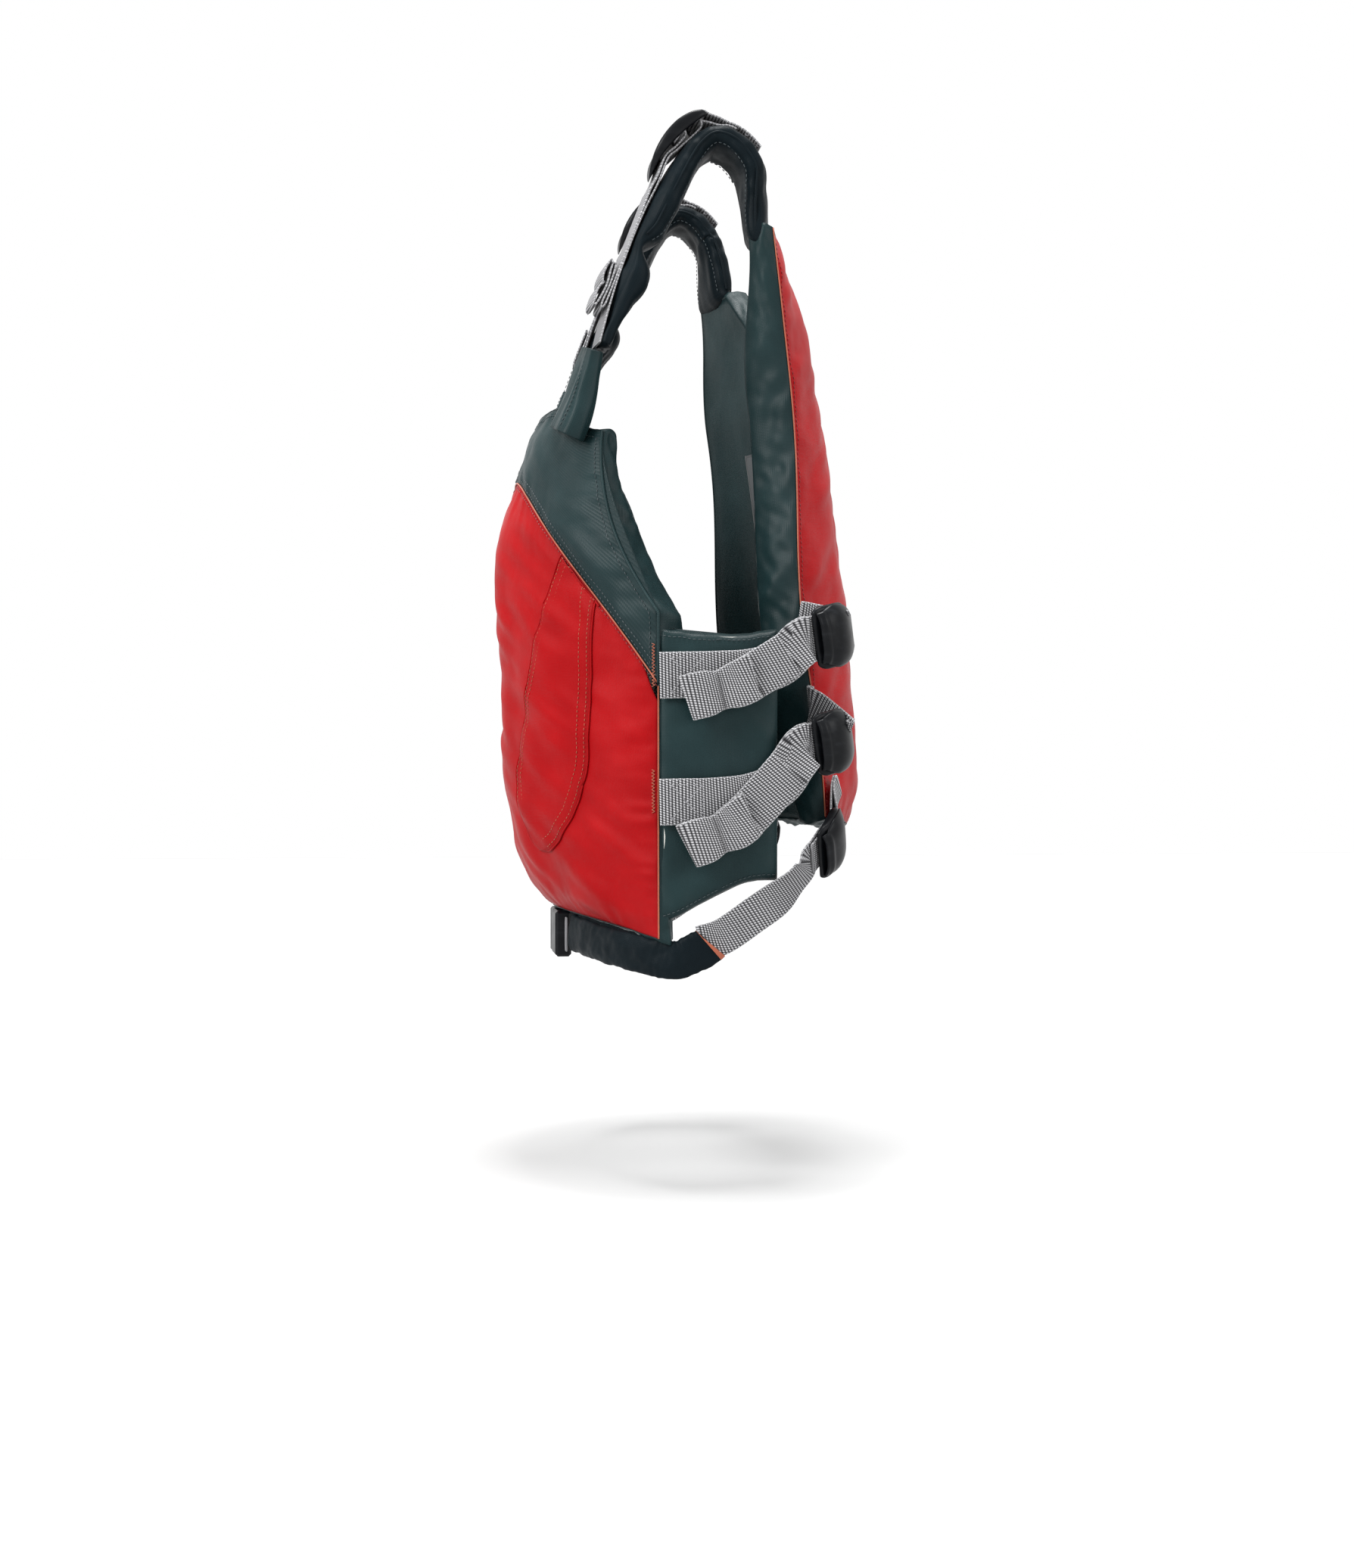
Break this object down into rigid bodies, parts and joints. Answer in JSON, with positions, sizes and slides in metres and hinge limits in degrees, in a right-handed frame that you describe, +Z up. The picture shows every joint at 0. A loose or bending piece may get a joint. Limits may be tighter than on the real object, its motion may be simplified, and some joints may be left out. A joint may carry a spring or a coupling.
{
  "type": "life jacket",
  "caption": "Low-profile paddling life jacket with foam front and back panels, padded shoulder straps, side flaps, adjustable webbing and a clipped waist belt.",
  "frame": {"origin": "midway between the two shoulder straps, just under their tops, where a hanger or the wearer's shoulders carry the jacket", "axes": "+X to the wearer's left, -Y to the wearer's front, +Z up"},
  "size_m": [0.329, 0.2709, 0.6108],
  "materials": {
    "red_nylon": "satin coated pack cloth",
    "slate_nylon": "satin coated pack cloth",
    "foam": "closed-cell buoyancy foam",
    "grey_webbing": "ribbed polyester webbing",
    "black_plastic": "moulded acetal",
    "label_fabric": "printed satin label, left blank"
  },
  "bodies": {
    "root": {"front_red_panel": "red_nylon", "front_yoke": "slate_nylon", "front_gusset": "slate_nylon", "front_foam_core": "foam", "front_lining": "slate_nylon", "back_red_panel": "red_nylon", "back_gusset": "slate_nylon", "back_foam_core": "foam", "back_lining": "slate_nylon", "care_label": "label_fabric", "pocket_left": "red_nylon", "chest_tab_left": "slate_nylon", "shoulder_pad_left": "slate_nylon", "shoulder_anchor_web_left": "grey_webbing", "shoulder_web_left": "grey_webbing", "side_strap_upper_left": "grey_webbing", "side_anchor_upper_left": "grey_webbing", "side_strap_lower_left": "grey_webbing", "side_anchor_lower_left": "grey_webbing", "belt_sleeve_left": "slate_nylon", "belt_strap_left": "grey_webbing", "belt_anchor_left": "grey_webbing", "belt_web_left": "grey_webbing", "pocket_right": "red_nylon", "chest_tab_right": "slate_nylon", "shoulder_pad_right": "slate_nylon", "shoulder_anchor_web_right": "grey_webbing", "shoulder_web_right": "grey_webbing", "side_strap_upper_right": "grey_webbing", "side_anchor_upper_right": "grey_webbing", "side_strap_lower_right": "grey_webbing", "side_anchor_lower_right": "grey_webbing", "belt_sleeve_right": "slate_nylon", "belt_strap_right": "grey_webbing", "belt_anchor_right": "grey_webbing", "clip_socket": "black_plastic"},
    "side_flap_left": {"side_flap_foam_left": "foam", "side_flap_cover_left": "slate_nylon"},
    "shoulder_buckle_left": {"shoulder_buckle_left": "black_plastic"},
    "shoulder_tail_left": {"shoulder_tail_left": "grey_webbing"},
    "side_buckle_upper_left": {"side_buckle_upper_left": "black_plastic"},
    "side_tail_upper_left": {"side_tail_upper_left": "grey_webbing"},
    "side_buckle_lower_left": {"side_buckle_lower_left": "black_plastic"},
    "side_tail_lower_left": {"side_tail_lower_left": "grey_webbing"},
    "belt_adjuster_left": {"belt_adjuster_left": "black_plastic"},
    "side_flap_right": {"side_flap_foam_right": "foam", "side_flap_cover_right": "slate_nylon"},
    "shoulder_buckle_right": {"shoulder_buckle_right": "black_plastic"},
    "shoulder_tail_right": {"shoulder_tail_right": "grey_webbing"},
    "side_buckle_upper_right": {"side_buckle_upper_right": "black_plastic"},
    "side_tail_upper_right": {"side_tail_upper_right": "grey_webbing"},
    "side_buckle_lower_right": {"side_buckle_lower_right": "black_plastic"},
    "side_tail_lower_right": {"side_tail_lower_right": "grey_webbing"},
    "clip_plug": {"belt_web_right": "grey_webbing", "clip_plug": "black_plastic"},
    "belt_adjuster_right": {"belt_adjuster_right": "black_plastic"},
    "clip_prong_upper": {"clip_prong_upper": "black_plastic"},
    "clip_prong_lower": {"clip_prong_lower": "black_plastic"}
  },
  "joints": [
    {"name": "side_flap_left_swing", "type": "hinge", "parent": "root", "child": "side_flap_left", "pos_m": [0.15, -0.035, -0.46875], "axis": [0, 0, 1], "range_deg": [0, 8]},
    {"name": "shoulder_buckle_left_tilt", "type": "hinge", "parent": "root", "child": "shoulder_buckle_left", "pos_m": [0.097, 0.002, 0.019], "axis": [-1, 0, 0], "range_deg": [0, 30]},
    {"name": "shoulder_tail_left_lift", "type": "hinge", "parent": "root", "child": "shoulder_tail_left", "pos_m": [0.097, -0.0354, -0.03302], "axis": [1, 0, 0], "range_deg": [-20, 0]},
    {"name": "side_buckle_upper_left_tilt", "type": "hinge", "parent": "root", "child": "side_buckle_upper_left", "pos_m": [0.14, 0.097, -0.349], "axis": [0.1295, -0.1562, 0.9792], "range_deg": [0, 30]},
    {"name": "side_tail_upper_left_swing", "type": "hinge", "parent": "root", "child": "side_tail_upper_left", "pos_m": [0.1595, 0.056, -0.36545], "axis": [0, 0, 1], "range_deg": [0, 25]},
    {"name": "side_buckle_lower_left_tilt", "type": "hinge", "parent": "root", "child": "side_buckle_lower_left", "pos_m": [0.14, 0.097, -0.423], "axis": [0.1295, -0.1562, 0.9792], "range_deg": [0, 18], "deforming": ["side_anchor_lower_left"]},
    {"name": "side_tail_lower_left_swing", "type": "hinge", "parent": "root", "child": "side_tail_lower_left", "pos_m": [0.1595, 0.056, -0.44439], "axis": [0, 0, 1], "range_deg": [0, 20]},
    {"name": "belt_adjuster_left_tilt", "type": "hinge", "parent": "root", "child": "belt_adjuster_left", "pos_m": [0.13, 0.0945, -0.489], "axis": [0.5562, -0.1756, 0.8123], "range_deg": [0, 18], "deforming": ["belt_anchor_left"]},
    {"name": "side_flap_right_swing", "type": "hinge", "parent": "root", "child": "side_flap_right", "pos_m": [-0.15, -0.035, -0.46875], "axis": [0, 0, -1], "range_deg": [0, 8]},
    {"name": "shoulder_buckle_right_tilt", "type": "hinge", "parent": "root", "child": "shoulder_buckle_right", "pos_m": [-0.097, 0.002, 0.019], "axis": [-1, 0, 0], "range_deg": [0, 30]},
    {"name": "shoulder_tail_right_lift", "type": "hinge", "parent": "root", "child": "shoulder_tail_right", "pos_m": [-0.097, -0.0354, -0.03302], "axis": [1, 0, 0], "range_deg": [-20, 0]},
    {"name": "side_buckle_upper_right_tilt", "type": "hinge", "parent": "root", "child": "side_buckle_upper_right", "pos_m": [-0.14, 0.097, -0.349], "axis": [0.1295, 0.1562, -0.9792], "range_deg": [0, 30]},
    {"name": "side_tail_upper_right_swing", "type": "hinge", "parent": "root", "child": "side_tail_upper_right", "pos_m": [-0.1595, 0.056, -0.36545], "axis": [0, 0, -1], "range_deg": [0, 25]},
    {"name": "side_buckle_lower_right_tilt", "type": "hinge", "parent": "root", "child": "side_buckle_lower_right", "pos_m": [-0.14, 0.097, -0.423], "axis": [0.1295, 0.1562, -0.9792], "range_deg": [0, 18], "deforming": ["side_anchor_lower_right"]},
    {"name": "side_tail_lower_right_swing", "type": "hinge", "parent": "root", "child": "side_tail_lower_right", "pos_m": [-0.1595, 0.056, -0.44439], "axis": [0, 0, -1], "range_deg": [0, 20]},
    {"name": "belt_adjuster_right_tilt", "type": "hinge", "parent": "root", "child": "belt_adjuster_right", "pos_m": [-0.13, 0.0945, -0.489], "axis": [0.5562, 0.1756, -0.8123], "range_deg": [0, 18], "deforming": ["belt_anchor_right"]},
    {"name": "clip_plug_slide", "type": "slide", "parent": "root", "child": "clip_plug", "axis": [-1, 0, 0], "range_m": [0, 0.016], "deforming": ["belt_sleeve_right"]},
    {"name": "clip_prong_upper_flex", "type": "hinge", "parent": "clip_plug", "child": "clip_prong_upper", "pos_m": [0.0009, -0.09, -0.5547], "axis": [0, 1, 0], "range_deg": [0, 8], "stiffness_Nm_per_rad": 0.02},
    {"name": "clip_prong_lower_flex", "type": "hinge", "parent": "clip_plug", "child": "clip_prong_lower", "pos_m": [0.0009, -0.09, -0.5773], "axis": [0, -1, 0], "range_deg": [0, 8], "stiffness_Nm_per_rad": 0.02}
  ],
  "couplings": [
    {"joint": "clip_prong_lower_flex", "follows": "clip_prong_upper_flex", "ratio": 1}
  ]
}
